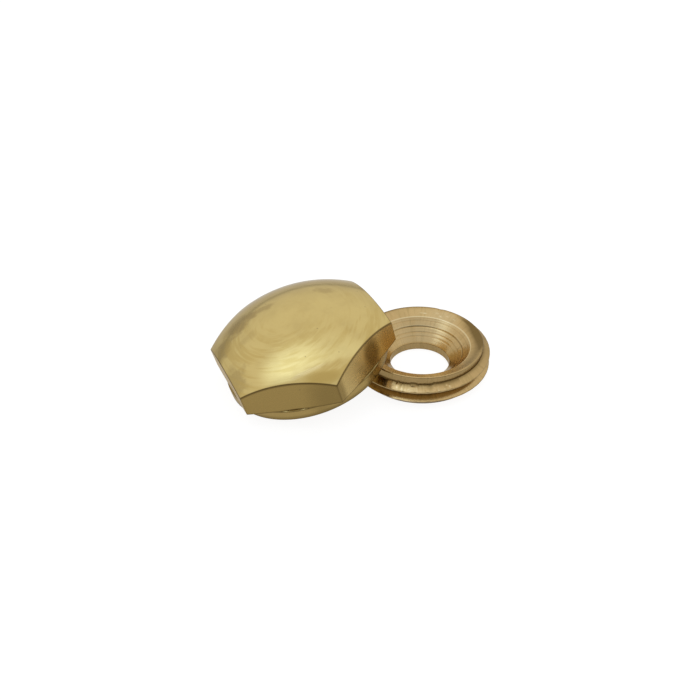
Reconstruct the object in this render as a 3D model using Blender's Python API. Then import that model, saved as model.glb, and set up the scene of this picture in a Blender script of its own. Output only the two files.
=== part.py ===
"""Hex screw cap: a domed hexagonal cap and the threaded cup washer that it screws on to.

The washer lies flat. The cap is unscrewed and leans on the washer's rim, its skirt on the ground.
Metres, +Z up, origin under the middle of the pair.
"""
import math

import bmesh
import bpy
from mathutils import Matrix, Vector
from mathutils.geometry import intersect_point_line

MM = 0.001

# Thread shared by both pieces: single start, right-handed, 60 degree form.
THREAD_DIAMETER = 15.8 * MM
THREAD_PITCH = 1.25 * MM
HALF_FORM_ANGLE = math.radians(30)
THREAD_CLEARANCE = 0.12 * MM

# Washer.
WASHER_HEIGHT = 3.74 * MM
PLAIN_RIM_STEP = 0.93 * MM     # how much smaller the plain rim is than the thread, on the radius
FOOT_CHAMFER = 1.0 * MM
PLAIN_RIM_HEIGHT = 0.105 * MM  # what is left plain above the thread, where the ridge ends
THREAD_END_SIDE = math.radians(135)
THREAD_FADE = math.radians(40)     # how far round the ridge's upper end fades out
SCREW_HOLE_DIAMETER = 6.8 * MM
COUNTERSINK_DIAMETER = 11.32 * MM
COUNTERSINK_HALF_ANGLE = math.radians(45)
RIM_FALL = 0.63 * MM           # how far the rim's face falls towards the countersink
RIM_EDGE_BREAK = 0.06 * MM

# Cap.
SKIRT_WALL = 1.21 * MM
SKIRT_DEPTH = 1.275 * MM
SKIRT_CHAMFER = 0.1 * MM
FLAT_SETBACK = 0.23 * MM       # how far the middle of a flat lies inside the skirt
CORNER_LIFT = 0.27 * MM        # how far the underside rises out to the hexagon's corners
DOME_RADIUS = 16.39 * MM
CROWN_WALL = 0.99 * MM
BORE_SPARE = 0.6 * MM
ROOF_RISE = 0.35 * MM
RELIEF_HEIGHT = 1.55 * MM
RELIEF_STEP = 0.05 * MM

# Pose of the loose cap.
SKIRT_LAP = 2.9 * MM           # how far the skirt reaches in over the washer's rim
CAP_SIDE = math.radians(187.6)     # where the cap lies, seen from the washer
LEAN_TOWARDS = math.radians(192.9)
CAP_TURN = math.radians(174.6)
REST_GAP = 0.3 * MM

# Mesh fineness, and how far cutters and the ridge's root reach past the surfaces that they meet.
SIDES = 72
DOME_STEPS = 9
REACH = 0.4 * MM
RIDGE_ROOT = 0.1 * MM
MERGE = 0.00001

# Sizes that follow from those above.
THREAD_RADIUS = THREAD_DIAMETER / 2
CREST_FLAT = THREAD_PITCH / 8
ROOT_FLAT = THREAD_PITCH / 25
PLAIN_RIM_RADIUS = THREAD_RADIUS - PLAIN_RIM_STEP
SCREW_HOLE_RADIUS = SCREW_HOLE_DIAMETER / 2
SINK_RADIUS = COUNTERSINK_DIAMETER / 2
SINK_TOP = WASHER_HEIGHT - RIM_FALL
LAND_HEIGHT = SINK_TOP - (SINK_RADIUS - SCREW_HOLE_RADIUS) / math.tan(COUNTERSINK_HALF_ANGLE)
LAST_CREST = WASHER_HEIGHT - PLAIN_RIM_HEIGHT - THREAD_PITCH / 2
GROOVE_RADIUS = THREAD_RADIUS + THREAD_CLEARANCE
BORE_RADIUS = GROOVE_RADIUS - THREAD_PITCH * 5 / 8 * math.cos(HALF_FORM_ANGLE)
RELIEF_RADIUS = GROOVE_RADIUS + RELIEF_STEP
MOUTH_CHAMFER = RELIEF_RADIUS - BORE_RADIUS
SKIRT_RADIUS = GROOVE_RADIUS + SKIRT_WALL
HALF_FLATS = SKIRT_RADIUS - FLAT_SETBACK
CORNER_RADIUS = HALF_FLATS / math.cos(math.pi / 6)
BLANK_RADIUS = CORNER_RADIUS + REACH
ROOF_HEIGHT = WASHER_HEIGHT + BORE_SPARE - SKIRT_DEPTH
CAP_DISTANCE = SKIRT_RADIUS + PLAIN_RIM_RADIUS - SKIRT_LAP

# The skirt's foot as (radius, height) points, down its outer side, under it and up into the bore.
SKIRT_FOOT = (
    (SKIRT_RADIUS, SKIRT_CHAMFER - SKIRT_DEPTH),
    (SKIRT_RADIUS - SKIRT_CHAMFER, -SKIRT_DEPTH),
    (RELIEF_RADIUS, -SKIRT_DEPTH),
    (BORE_RADIUS, MOUTH_CHAMFER - SKIRT_DEPTH),
)


def dome_rise(radius):
    """Height of the dome's sphere at a radius, above the hexagon's top corners."""
    return math.sqrt(DOME_RADIUS ** 2 - radius ** 2) - math.sqrt(DOME_RADIUS ** 2 - CORNER_RADIUS ** 2)


FACE_HEIGHT = ROOF_HEIGHT + CROWN_WALL - dome_rise(GROOVE_RADIUS)


def new_object(name, mesh, parent=None):
    """Link a new object that holds the bmesh."""
    data = bpy.data.meshes.new(name)
    mesh.to_mesh(data)
    mesh.free()
    thing = bpy.data.objects.new(name, data)
    thing.parent = parent
    bpy.context.scene.collection.objects.link(thing)
    return thing


def turned(name, profile, closed, parent=None):
    """A turned solid: a (radius, height) profile, down its outer side, with a Screw modifier.

    The profile stands half a side round from +X, so that no side's edge meets a helix's or a hexagon's.
    """
    mesh = bmesh.new()
    points = [mesh.verts.new((radius * math.cos(math.pi / SIDES), radius * math.sin(math.pi / SIDES), height))
              for radius, height in profile]
    ends = points[1:] + points[:1] if closed else points[1:]
    for start, end in zip(points, ends):
        mesh.edges.new((start, end))
    solid = new_object(name, mesh, parent)
    screw = solid.modifiers.new("Turn", "SCREW")
    screw.steps = SIDES
    screw.render_steps = SIDES
    screw.use_merge_vertices = True
    screw.merge_threshold = MERGE
    return solid


def whole_sides(turns):
    """The nearest number of turns that is a whole number of sides."""
    return round(turns * SIDES) / SIDES


def helix(name, crest_radius, inner_radius, widening, first_turn, last_turn, parent):
    """A closed helical bar of the thread's form, whose crest is at height 0 where turn and angle are 0."""
    half_crest = CREST_FLAT / 2 + widening
    half_root = (THREAD_PITCH - ROOT_FLAT) / 2
    root_radius = crest_radius - (half_root - half_crest) / math.tan(HALF_FORM_ANGLE)
    if root_radius > inner_radius:
        upper = [(crest_radius, half_crest), (root_radius, half_root), (inner_radius, half_root)]
    else:
        half_foot = half_crest + (crest_radius - inner_radius) * math.tan(HALF_FORM_ANGLE)
        upper = [(crest_radius, half_crest), (inner_radius, half_foot)]
    section = upper + [(radius, -height) for radius, height in reversed(upper)]
    mesh = bmesh.new()
    face = mesh.faces.new([mesh.verts.new((radius, 0.0, height)) for radius, height in section])
    lift = Matrix.Translation((0.0, 0.0, first_turn * THREAD_PITCH))
    turn = Matrix.Rotation(2 * math.pi * first_turn, 4, "Z")
    bmesh.ops.transform(mesh, matrix=lift @ turn, verts=mesh.verts)
    turns = last_turn - first_turn
    steps = round(turns * SIDES)
    bmesh.ops.spin(mesh, geom=[face] + list(face.edges) + list(face.verts), cent=(0, 0, 0), axis=(0, 0, 1),
                   dvec=(0, 0, turns * THREAD_PITCH / steps), angle=2 * math.pi * turns, steps=steps)
    bmesh.ops.recalc_face_normals(mesh, faces=mesh.faces)
    return new_object(name, mesh, parent)


def fade_upper_end(bar, inner_radius, last_turn):
    """Flatten the helical bar's last stretch evenly to under the rim's surface."""
    kept_at_end = RIDGE_ROOT / (THREAD_RADIUS - inner_radius) / 2
    for vertex in bar.data.vertices:
        angle_share = math.atan2(vertex.co.y, vertex.co.x) / (2 * math.pi)
        turn = round(vertex.co.z / THREAD_PITCH - angle_share) + angle_share
        faded = max(1 - (last_turn - turn) * 2 * math.pi / THREAD_FADE, 0.0)
        radius = math.hypot(vertex.co.x, vertex.co.y)
        flattened = inner_radius + (radius - inner_radius) * (1 - faded * (1 - kept_at_end))
        vertex.co.x *= flattened / radius
        vertex.co.y *= flattened / radius


def combine(target, tool, operation):
    """Boolean the tool with the target; the tool itself stays out of sight."""
    tool.hide_render = True
    tool.display_type = "WIRE"
    boolean = target.modifiers.new(tool.name, "BOOLEAN")
    boolean.operation = operation
    boolean.solver = "EXACT"
    boolean.object = tool


def finish(piece, tools, colour, roughness):
    """Make the modifiers' result the piece's mesh, shade it and give it its brass."""
    evaluated = piece.evaluated_get(bpy.context.evaluated_depsgraph_get())
    mesh = bpy.data.meshes.new_from_object(evaluated)
    piece.modifiers.clear()
    piece.data = mesh
    for tool in tools:
        bpy.data.objects.remove(tool, do_unlink=True)
    mesh.shade_smooth()
    mesh.set_sharp_from_angle(angle=math.radians(25))
    material = bpy.data.materials.new(piece.name + "_brass")
    material.use_nodes = True
    shader = material.node_tree.nodes["Principled BSDF"]
    shader.inputs["Base Color"].default_value = (*colour, 1.0)
    shader.inputs["Metallic"].default_value = 1.0
    shader.inputs["Roughness"].default_value = roughness
    material.diffuse_color = (*colour, 1.0)
    mesh.materials.clear()
    mesh.materials.append(material)
    return piece


def make_washer():
    """Cup washer: screw hole, countersink and dished rim inside, thread outside."""
    washer = turned("threaded_washer", [
        (PLAIN_RIM_RADIUS - RIM_EDGE_BREAK, WASHER_HEIGHT),
        (PLAIN_RIM_RADIUS, WASHER_HEIGHT - RIM_EDGE_BREAK),
        (PLAIN_RIM_RADIUS, -REACH),
        (SCREW_HOLE_RADIUS, -REACH),
        (SCREW_HOLE_RADIUS, LAND_HEIGHT),
        (SINK_RADIUS, SINK_TOP),
    ], closed=True)
    last_turn = whole_sides(THREAD_END_SIDE / (2 * math.pi))
    first_turn = last_turn - math.ceil(LAST_CREST / THREAD_PITCH) - 1
    root_radius = PLAIN_RIM_RADIUS - RIDGE_ROOT
    ridge = helix("ridge", THREAD_RADIUS, root_radius, 0.0, first_turn, last_turn, washer)
    fade_upper_end(ridge, root_radius, last_turn)
    ridge.location.z = LAST_CREST - last_turn * THREAD_PITCH
    outside = THREAD_RADIUS + REACH
    envelope = turned("envelope", [
        (0.0, WASHER_HEIGHT + REACH),
        (outside, WASHER_HEIGHT + REACH),
        (outside, FOOT_CHAMFER + REACH),
        (THREAD_RADIUS - FOOT_CHAMFER, 0.0),
        (0.0, 0.0),
    ], closed=False, parent=washer)
    # A quarter side round, the foot's chamfer crosses the washer's own sides cleanly.
    envelope.rotation_euler.z = math.pi / SIDES / 2
    combine(washer, ridge, "UNION")
    combine(washer, envelope, "INTERSECT")
    return finish(washer, [ridge, envelope], (0.42, 0.27, 0.12), 0.35)


def make_cap():
    """Domed hexagonal cap with a round skirt and a threaded blind bore; its underside is at height 0."""
    lift_slope = CORNER_LIFT / (CORNER_RADIUS - HALF_FLATS)
    relief_foot = ROOF_HEIGHT - RELIEF_HEIGHT
    dome_radii = [BLANK_RADIUS * step / DOME_STEPS for step in range(DOME_STEPS + 1)]
    cap = turned("hex_cap", [(radius, FACE_HEIGHT + dome_rise(radius)) for radius in dome_radii] + [
        (BLANK_RADIUS, lift_slope * (BLANK_RADIUS - HALF_FLATS)),
        (SKIRT_RADIUS, lift_slope * (SKIRT_RADIUS - HALF_FLATS)),
        *SKIRT_FOOT,
        (BORE_RADIUS, relief_foot - MOUTH_CHAMFER),
        (RELIEF_RADIUS, relief_foot),
        (RELIEF_RADIUS, ROOF_HEIGHT),
        (0.0, ROOF_HEIGHT + ROOF_RISE),
    ], closed=False)
    mesh = bmesh.new()
    bmesh.ops.create_cone(mesh, cap_ends=True, segments=6, radius1=CORNER_RADIUS, radius2=CORNER_RADIUS,
                          depth=4 * DOME_RADIUS)
    bmesh.ops.rotate(mesh, matrix=Matrix.Rotation(math.pi / 6, 3, "Z"), verts=mesh.verts)
    hexagon = new_object("hexagon", mesh, cap)
    # The flats stop at the underside: below it the skirt stays round.
    skirt_room = turned("skirt_room", [
        (0.0, 0.0),
        (SKIRT_RADIUS + REACH, 0.0),
        (SKIRT_RADIUS + REACH, -SKIRT_DEPTH - REACH),
        (0.0, -SKIRT_DEPTH - REACH),
    ], closed=False, parent=cap)
    combine(hexagon, skirt_room, "UNION")
    first_turn = math.floor(-SKIRT_DEPTH / THREAD_PITCH) - 1
    last_turn = whole_sides(ROOF_HEIGHT / THREAD_PITCH - 0.5)
    groove = helix("groove", GROOVE_RADIUS, BORE_RADIUS - REACH, THREAD_CLEARANCE, first_turn, last_turn,
                   cap)
    combine(cap, groove, "DIFFERENCE")
    combine(cap, hexagon, "INTERSECT")
    return finish(cap, [groove, hexagon, skirt_room], (0.60, 0.47, 0.20), 0.22)


def cap_pose(tilt):
    """Matrix that leans the cap by tilt and stands the low side of its skirt on the ground."""
    hinge = Vector((-math.sin(LEAN_TOWARDS), math.cos(LEAN_TOWARDS), 0.0))
    turn = Matrix.Rotation(tilt, 4, hinge) @ Matrix.Rotation(CAP_TURN, 4, "Z")
    height = max(radius * math.sin(tilt) - level * math.cos(tilt) for radius, level in SKIRT_FOOT)
    place = Vector((CAP_DISTANCE * math.cos(CAP_SIDE), CAP_DISTANCE * math.sin(CAP_SIDE), height))
    return Matrix.Translation(place) @ turn


def skirt_clearance(tilt):
    """Smallest distance from the cap's skirt to the edges of the washer's rim and of its last crest."""
    to_cap = cap_pose(tilt).inverted()
    edges = ((PLAIN_RIM_RADIUS, WASHER_HEIGHT - RIM_EDGE_BREAK),
             (PLAIN_RIM_RADIUS - RIM_EDGE_BREAK, WASHER_HEIGHT),
             (THREAD_RADIUS, LAST_CREST + CREST_FLAT / 2))
    smallest = SKIRT_RADIUS
    for radius, height in edges:
        for step in range(5 * SIDES):
            angle = 2 * math.pi * step / (5 * SIDES)
            point = to_cap @ Vector((radius * math.cos(angle), radius * math.sin(angle), height))
            flat = Vector((math.hypot(point.x, point.y), point.z))
            for start, end in zip(SKIRT_FOOT, SKIRT_FOOT[1:]):
                share = intersect_point_line(flat, Vector(start), Vector(end))[1]
                nearest = Vector(start).lerp(Vector(end), min(max(share, 0.0), 1.0))
                smallest = min(smallest, (flat - nearest).length)
    return smallest


def resting_tilt():
    """Tilt at which the lowered cap comes within the resting gap of the washer."""
    tilt = math.radians(40)
    for step in (math.radians(1), math.radians(0.1), math.radians(0.01)):
        while skirt_clearance(tilt - step) > REST_GAP:
            tilt -= step
    return tilt


def centre_on_origin(pieces):
    """Parent the pieces to an empty, placed so that the origin is under the middle of the pair."""
    bpy.context.view_layer.update()
    corners = [piece.matrix_world @ vertex.co for piece in pieces for vertex in piece.data.vertices]
    low = Vector([min(corner[axis] for corner in corners) for axis in range(3)])
    high = Vector([max(corner[axis] for corner in corners) for axis in range(3)])
    holder = bpy.data.objects.new("cap_and_washer", None)
    bpy.context.scene.collection.objects.link(holder)
    for piece in pieces:
        piece.parent = holder
    holder.location = (-(low.x + high.x) / 2, -(low.y + high.y) / 2, -low.z)


def main():
    for leftover in list(bpy.data.objects):
        bpy.data.objects.remove(leftover, do_unlink=True)
    washer = make_washer()
    cap = make_cap()
    cap.matrix_world = cap_pose(resting_tilt())
    centre_on_origin([washer, cap])


main()
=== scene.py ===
"""Hex screw cap: a polished hexagonal brass cap and the threaded cup washer that it screws on to.

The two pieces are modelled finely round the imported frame, given their brass and set on a pale stage.
Metres, +Z up, in the frame's own place. Bearings are angles round an axis, from X.
"""
import math
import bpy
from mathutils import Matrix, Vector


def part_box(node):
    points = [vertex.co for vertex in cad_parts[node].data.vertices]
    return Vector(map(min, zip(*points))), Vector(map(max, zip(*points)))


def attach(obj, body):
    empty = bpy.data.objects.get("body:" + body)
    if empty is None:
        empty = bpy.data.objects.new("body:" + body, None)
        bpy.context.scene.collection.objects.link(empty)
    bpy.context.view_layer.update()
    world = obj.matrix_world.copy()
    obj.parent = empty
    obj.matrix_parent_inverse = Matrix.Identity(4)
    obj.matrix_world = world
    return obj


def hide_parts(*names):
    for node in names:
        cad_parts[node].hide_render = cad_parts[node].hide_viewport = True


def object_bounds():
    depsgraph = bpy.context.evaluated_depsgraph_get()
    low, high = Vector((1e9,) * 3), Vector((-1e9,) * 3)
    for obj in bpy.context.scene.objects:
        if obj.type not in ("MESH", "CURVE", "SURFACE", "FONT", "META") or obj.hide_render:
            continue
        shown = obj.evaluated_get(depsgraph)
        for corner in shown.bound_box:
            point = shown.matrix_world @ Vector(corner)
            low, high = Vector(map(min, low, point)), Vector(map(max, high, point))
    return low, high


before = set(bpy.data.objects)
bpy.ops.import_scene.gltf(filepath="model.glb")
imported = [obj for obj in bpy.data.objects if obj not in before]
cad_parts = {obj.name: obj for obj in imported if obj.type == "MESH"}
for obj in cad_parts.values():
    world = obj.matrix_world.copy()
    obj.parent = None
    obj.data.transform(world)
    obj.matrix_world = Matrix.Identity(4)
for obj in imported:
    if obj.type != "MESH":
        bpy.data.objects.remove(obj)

from types import SimpleNamespace

import bmesh
import bpy
import numpy as np
from bpy.props import FloatProperty, FloatVectorProperty, IntProperty, PointerProperty
from mathutils import Matrix, Vector

bl_info = {
    "name": "Hex screw cap",
    "version": (1, 0, 0),
    "blender": (4, 5, 0),
    "location": "3D View > Sidebar > Screw cap",
    "description": "Polished hexagonal brass cap, its threaded cup washer and a pale studio stage",
    "category": "Add Mesh",
}

MM = 0.001
CAD_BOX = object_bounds()
WASHER_LOW, WASHER_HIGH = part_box("threaded_washer")
FULL_TURN = 2 * math.pi
HALF_FORM_ANGLE = math.radians(30)  # of the thread's flanks
SECTOR = math.pi / 3                # from one corner of the hexagon to the next
MERGE_DISTANCE = 0.0005 * MM
SHARP_ANGLE = math.radians(32)


def length(name, description, default):
    """A length property."""
    return FloatProperty(name=name, description=description, default=default, subtype="DISTANCE",
                         unit="LENGTH", precision=5)


def angle(name, description, default):
    """An angle property; its default is given in degrees."""
    return FloatProperty(name=name, description=description, default=math.radians(default),
                         subtype="ANGLE", unit="ROTATION")


def share(name, description, default):
    """A property between 0 and 1."""
    return FloatProperty(name=name, description=description, default=default, subtype="FACTOR",
                         min=0.0, max=1.0)


def colour(name, description, default):
    """A linear colour property."""
    return FloatVectorProperty(name=name, description=description, default=default, subtype="COLOR",
                               size=3, min=0.0, max=1.0)


# Sizes and colours that a user would change


class WasherSizes(bpy.types.PropertyGroup):
    """Sizes of the threaded cup washer."""
    thread_diameter: length("Thread diameter", "Over the thread's crests", WASHER_HIGH.x - WASHER_LOW.x)
    height: length("Height", "From the foot to the rim", WASHER_HIGH.z - WASHER_LOW.z)
    pitch: length("Pitch", "Of the thread on the washer and in the cap", 1.25 * MM)
    plain_rim_step: length("Plain rim step", "How much smaller the plain rim is, on the radius", 0.79 * MM)
    plain_rim_height: length("Plain rim height", "Left plain above the thread's last ridge", 0.105 * MM)
    foot_chamfer: length("Foot chamfer", "At the foot of the thread", 1.0 * MM)
    hole_diameter: length("Hole diameter", "Clearance hole for the screw", 6.8 * MM)
    sink_diameter: length("Countersink diameter", "Where the countersink meets the rim's face", 11.32 * MM)
    sink_half_angle: angle("Countersink half angle", "Between its axis and its side", 45)
    rim_fall: length("Rim fall", "How far the rim's face falls inwards", 0.63 * MM)
    rim_edge_break: length("Rim edge break", "Rounding of the rim's outer edge", 0.18 * MM)
    tool_mark_depth: length("Tool mark depth", "Of the rings left in the countersink", 0.035 * MM)
    thread_end: angle("Thread end", "Bearing at which the last ridge ends", 135)
    thread_fade: angle("Thread fade", "How far round the last ridge fades out", 40)
    torn_from: angle("Torn edge from", "Bearing at which the torn stretch of thread starts", -118)
    torn_to: angle("Torn edge to", "Bearing at which the torn stretch of thread ends", -76)
    nick_bearing: angle("Nick bearing", "Where the rim is nicked", 66)
    columns: IntProperty(name="Columns", description="Mesh columns round the washer", default=480, min=72)


class CapSizes(bpy.types.PropertyGroup):
    """Sizes and place of the hexagonal cap."""
    skirt_wall: length("Skirt wall", "Outside the thread's clearance", 1.21 * MM)
    thread_clearance: length("Thread clearance", "On the radius", 0.12 * MM)
    skirt_depth: length("Skirt depth", "Below the hexagon", 1.275 * MM)
    skirt_chamfer: length("Skirt chamfer", "At the skirt's outer foot", 0.1 * MM)
    flat_setback: length("Flat setback", "How far a flat's middle lies inside the skirt", 0.16 * MM)
    corner_lift: length("Corner lift", "How far the underside rises to the corners", 0.16 * MM)
    lift_start: length("Lift start", "How far outside the skirt the underside starts to rise", 0.25 * MM)
    dome_radius: length("Dome radius", "Of the crowned top", 16.30 * MM)
    crown_wall: length("Crown wall", "Over the bore's roof", 1.15 * MM)
    bore_spare: length("Bore spare", "Over the washer's rim when screwed home", 0.6 * MM)
    roof_rise: length("Roof rise", "Of the bore's conical roof", 0.35 * MM)
    relief_height: length("Relief height", "Of the thread's run-out", 1.55 * MM)
    relief_step: length("Relief step", "Of the run-out beyond the groove", 0.05 * MM)
    edge_rounding: length("Edge rounding", "Along the dome's edge and the hexagon's corners", 0.10 * MM)
    distance: length("Distance", "From the washer's axis to the cap's", 13.22 * MM)
    side: angle("Side", "Bearing of the cap from the washer", 188.4)
    lean: angle("Lean", "How far the cap leans", 13.9)
    lean_towards: angle("Lean towards", "Bearing that the cap leans towards", 193.4)
    turn: angle("Turn", "Of the hexagon about the cap's axis", 174.35)
    columns: IntProperty(name="Columns", description="Mesh columns round the cap", default=720, min=72)


class BrassLook(bpy.types.PropertyGroup):
    """Colours and finish of the brass."""
    polished: colour("Polished brass", "Clean polished brass", (0.585, 0.452, 0.178))
    turned: colour("Turned brass", "Brass as it leaves the lathe", (0.50, 0.345, 0.150))
    drawn: colour("Drawn brass", "The duller brass of the flats", (0.68, 0.50, 0.20))
    tarnish: colour("Tarnish", "Olive brown of handled brass", (0.33, 0.235, 0.088))
    # Front tarnish is painted shade on the front flat, where it reflects darker surroundings; the skirt is
    # darkened with the same colour. The front's dark end deepens that painted shade at one end of the flat.
    front_shade_and_skirt_tone: colour("Front tarnish", "Olive tarnish of the front flat", (0.45, 0.312, 0.104))
    front_shade_end: colour("Front dark", "Darker end of the front flat", (0.31, 0.212, 0.070))
    # The blot and the copper tone are painted reflections on the flat beside the washer: of the dark gap
    # under it, and of the washer's brass.
    gap_reflection_dark: colour("Blot", "Dark stain on the flat beside the washer", (0.17, 0.095, 0.018))
    washer_reflection_tone: colour("Copper tone", "Redder brass towards the washer", (0.52, 0.32, 0.10))
    # The streak is a painted highlight along the edge of the dome's bright reflection.
    painted_highlight_streak: colour("Streak", "Pale streak left by the polishing wheel", (0.86, 0.78, 0.52))
    tint: colour("Grazing tint", "Of the brass seen at a low angle", (0.93, 0.87, 0.76))
    # The edge colour is laid on as painted shade in the washer's thread roots, tool rings and rim bands, in
    # the groove over the skirt and along the skirt's foot, and as darker lines along the dome's edge and the
    # hexagon's corners.
    edge: colour("Edge", "Polish and grime caught along edges and in corners", (0.15, 0.095, 0.03))
    swirl: colour("Swirl", "Deeper tone of the polishing swirls", (0.47, 0.335, 0.105))
    # The rubbed colour is laid on as painted highlights: glints and flecks on the washer and a bright line
    # round its countersink's edge.
    painted_highlight: colour("Rubbed edge", "Edges rubbed bright", (0.72, 0.60, 0.36))
    drawn_roughness: share("Drawn roughness", "Added on the flats and the skirt", 0.16)
    polished_roughness: share("Polished roughness", "Of the dome", 0.12)
    turned_roughness: share("Turned roughness", "Of the washer", 0.20)


class StageLook(bpy.types.PropertyGroup):
    """Camera, floor and light."""
    elevation: angle("Elevation", "Of the camera", 35.70)
    roll: angle("Roll", "Of the camera", 0.90)
    distance: length("Distance", "From the camera to the point it aims at", 102.74 * MM)
    aim_right: length("Aim right", "How far right of the pair's middle it aims", -0.086 * MM)
    aim_back: length("Aim back", "How far behind the pair's middle it aims", 5.106 * MM)
    lens: FloatProperty(name="Lens", description="Focal length", default=44.24, unit="CAMERA")
    floor_size: length("Floor size", "Side of the square floor", 1.6)
    floor_colour: colour("Floor", "Pale floor", (0.9, 0.9, 0.9))


# Meshes from sections


def near(values, middle, reach):
    """1 at the middle, falling smoothly away on both sides of it."""
    return np.exp(-((values - middle) / reach) ** 2)


def run_up(values, start, end):
    """0 at start and 1 at end, straight between and level beyond; end may come before start."""
    return np.clip((values - start) / (end - start), 0, 1)


def rounded(corners, steps):
    """An outline with its corners rounded; every rounded corner gives the same number of points.

    A corner is a radius, a height, its rounding, and whatever else all its points share.
    """
    outline = []
    for index, (radius, height, rounding, *shared) in enumerate(corners):
        if not rounding:
            outline.append((radius, height, *shared))
            continue
        here = np.array((radius, height))
        to_last = np.array(corners[index - 1][:2]) - here
        to_next = np.array(corners[index + 1][:2]) - here
        last_length, next_length = np.hypot(*to_last), np.hypot(*to_next)
        to_last /= last_length
        to_next /= next_length
        half = math.acos(max(min(float(to_last @ to_next), 1.0), -1.0)) / 2
        setback = min(rounding / math.tan(half), 0.45 * last_length, 0.45 * next_length)
        for step in range(steps + 1):
            way = step / steps
            pull = (1 - way) ** 2 * to_last + way ** 2 * to_next
            outline.append((*(here + setback * pull), *shared))
    return outline


def skin(name, bearings, radii, heights, painted_shading, closed):
    """A mesh from rows of points, with a row for each ring and a column for each bearing.

    Painted shading is 1 for painted highlights and -1 for painted shade and darker lines. A closed skin joins
    its last ring to its first; an open one is closed by a point at either end.
    """
    rings, columns = radii.shape
    across = radii * np.cos(bearings)
    along = radii * np.sin(bearings)
    points = np.stack([across, along, heights], axis=2).reshape(-1, 3).tolist()
    faces = []
    last = rings if closed else rings - 1
    for ring in range(last):
        first, second = ring * columns, (ring + 1) % rings * columns
        for column in range(columns):
            after = (column + 1) % columns
            faces.append((first + column, second + column, second + after, first + after))
    if not closed:
        top, bottom = len(points), len(points) + 1
        points += [(0.0, 0.0, float(heights[0].mean())), (0.0, 0.0, float(heights[-1].mean()))]
        foot = (rings - 1) * columns
        for column in range(columns):
            after = (column + 1) % columns
            faces.append((top, column, after))
            faces.append((foot + column, bottom, foot + after))
    mesh = bpy.data.meshes.new(name)
    mesh.from_pydata(points, [], faces)
    marks = painted_shading.reshape(-1).tolist() + [0.0] * (len(points) - painted_shading.size)
    mesh.attributes.new("painted_shading", "FLOAT", "POINT").data.foreach_set("value", marks)
    shell = bmesh.new()
    shell.from_mesh(mesh)
    bmesh.ops.remove_doubles(shell, verts=shell.verts, dist=MERGE_DISTANCE)
    bmesh.ops.recalc_face_normals(shell, faces=shell.faces)
    shell.to_mesh(mesh)
    shell.free()
    mesh.shade_smooth()
    mesh.set_sharp_from_angle(angle=SHARP_ANGLE)
    return mesh


def place_piece(name, mesh, matrix, node, material):
    """Link a finished piece to the root body, and hide the frame's part that it stands for."""
    old = bpy.data.objects.get(name)
    if old:
        bpy.data.objects.remove(old, do_unlink=True)
    piece = bpy.data.objects.new(name, mesh)
    bpy.context.scene.collection.objects.link(piece)
    piece.matrix_world = matrix
    mesh.materials.append(material)
    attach(piece, "root")
    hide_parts(node)


def ridge_radius(heights, crest_heights, pitch, crest_radius, half_crest):
    """Radius of a thread's flank at each height, given the height of a crest at each bearing."""
    offset = np.abs((heights - crest_heights + pitch / 2) % pitch - pitch / 2)
    return crest_radius - np.maximum(offset - half_crest, 0.0) / math.tan(HALF_FORM_ANGLE)


# Threaded washer

FACE_STEP = 0.06 * MM   # about how far apart the rows on the countersink and the rim's face are
HOLE_BREAK = 0.10 * MM  # rounding between the hole and the countersink
SINK_BREAK = 0.07 * MM  # rounding between the countersink and the rim's face
EDGE_MARGIN = 0.1 * MM  # at the countersink's edges, free of tool marks and of their painted shading
WALL_ROWS = 95
FOOT_ROWS = 5
TORN_POINTS = 241       # round the whole washer
TORN_DEPTH = 0.09 * MM
TORN_EASE = 0.1         # angle over which the torn edge starts and ends
NICK_DEPTH = 0.12 * MM
SMALL_GLINTS = 9         # small painted glints on the rim's face
SPECKS = 40             # painted glints and dark specks on the last ridge

# Rings that the tool left in the countersink: how far out and how deep, as shares, and half the width.
TOOL_RINGS = ((0.63, 1.0, 0.05 * MM), (0.42, 0.35, 0.06 * MM), (0.27, 0.3, 0.05 * MM),
              (0.86, 0.3, 0.05 * MM))


def washer_radii(sizes):
    """Radii of the hole, of the countersink's edge and of the plain rim."""
    return sizes.hole_diameter / 2, sizes.sink_diameter / 2, sizes.thread_diameter / 2 - sizes.plain_rim_step


def washer_rows(sizes):
    """The washer's inside and top as a (radius, height) outline, from the foot of the hole to the rim."""
    hole, sink, rim = washer_radii(sizes)
    sink_top = sizes.height - sizes.rim_fall
    land = sink_top - (sink - hole) / math.tan(sizes.sink_half_angle)
    outline = rounded([(hole, 0.0, 0), (hole, land * 0.5, 0), (hole, land, HOLE_BREAK),
                       (sink, sink_top, SINK_BREAK), (rim, sizes.height, sizes.rim_edge_break),
                       (rim, sizes.height - 3 * sizes.rim_edge_break, 0)], 5)
    rows = []
    for (radius, height), (next_radius, next_height) in zip(outline, outline[1:]):
        rows.append((radius, height))
        span = math.hypot(next_radius - radius, next_height - height)
        cuts = int(span / FACE_STEP) if next_radius > radius else 0
        for cut in range(1, cuts):
            way = cut / cuts
            rows.append((radius + way * (next_radius - radius), height + way * (next_height - height)))
    rows.append(outline[-1])
    return np.array(rows)


def tool_rings(sizes, radii):
    """How deep the tool's rings are at each radius of the countersink, as a share of the deepest."""
    hole, sink, _ = washer_radii(sizes)
    depth = np.zeros_like(radii)
    for way, deep, half_width in TOOL_RINGS:
        depth += deep * near(radii, hole + way * (sink - hole), half_width)
    return depth


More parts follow.
